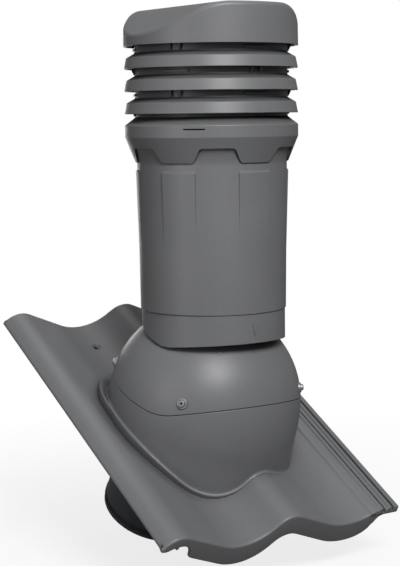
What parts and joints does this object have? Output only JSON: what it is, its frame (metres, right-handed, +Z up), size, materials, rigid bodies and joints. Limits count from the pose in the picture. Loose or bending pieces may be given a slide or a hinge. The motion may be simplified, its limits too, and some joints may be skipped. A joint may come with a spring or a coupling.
{
  "type": "roof tile vent",
  "caption": "Insulated exhaust vent on a wave roof tile, with a two-part dome for the roof pitch and a louvred hood.",
  "frame": {"origin": "middle of the open lower end of the duct spigot", "axes": "+Z up along the vent pipe, -Y down the roof towards the eave, +X to the right seen from the eave; the tile lies at a roof pitch of 29 degrees"},
  "size_m": [0.33, 0.3839, 0.6483],
  "materials": {
    "grey_plastic": "fine satin grain, moulded",
    "black_plastic": "smooth, slightly glossy",
    "light_pipe_plastic": "smooth extruded",
    "black_rubber": "dull",
    "grey_foam": "fine closed-cell foam",
    "screw_steel": "zinc plated"
  },
  "bodies": {
    "root": {"tile_base": "grey_plastic", "dome_shell": "grey_plastic", "dome_seal": "black_rubber", "dome_screws": "screw_steel", "dome_screw_washers": "screw_steel", "neck_collar": "grey_plastic", "outer_sleeve": "grey_plastic", "inner_pipe": "light_pipe_plastic", "insulation_sleeve": "grey_foam", "pipe_bend": "black_plastic", "duct_spigot": "black_plastic", "flange_plate": "black_plastic", "flange_gasket": "black_rubber", "spigot_seal": "black_rubber", "pipe_gasket": "black_rubber", "hood_base": "grey_plastic", "louvre_ring_lower": "grey_plastic", "louvre_ring_middle": "grey_plastic", "louvre_ring_upper": "grey_plastic", "hood_cap": "grey_plastic"}
  },
  "joints": []
}
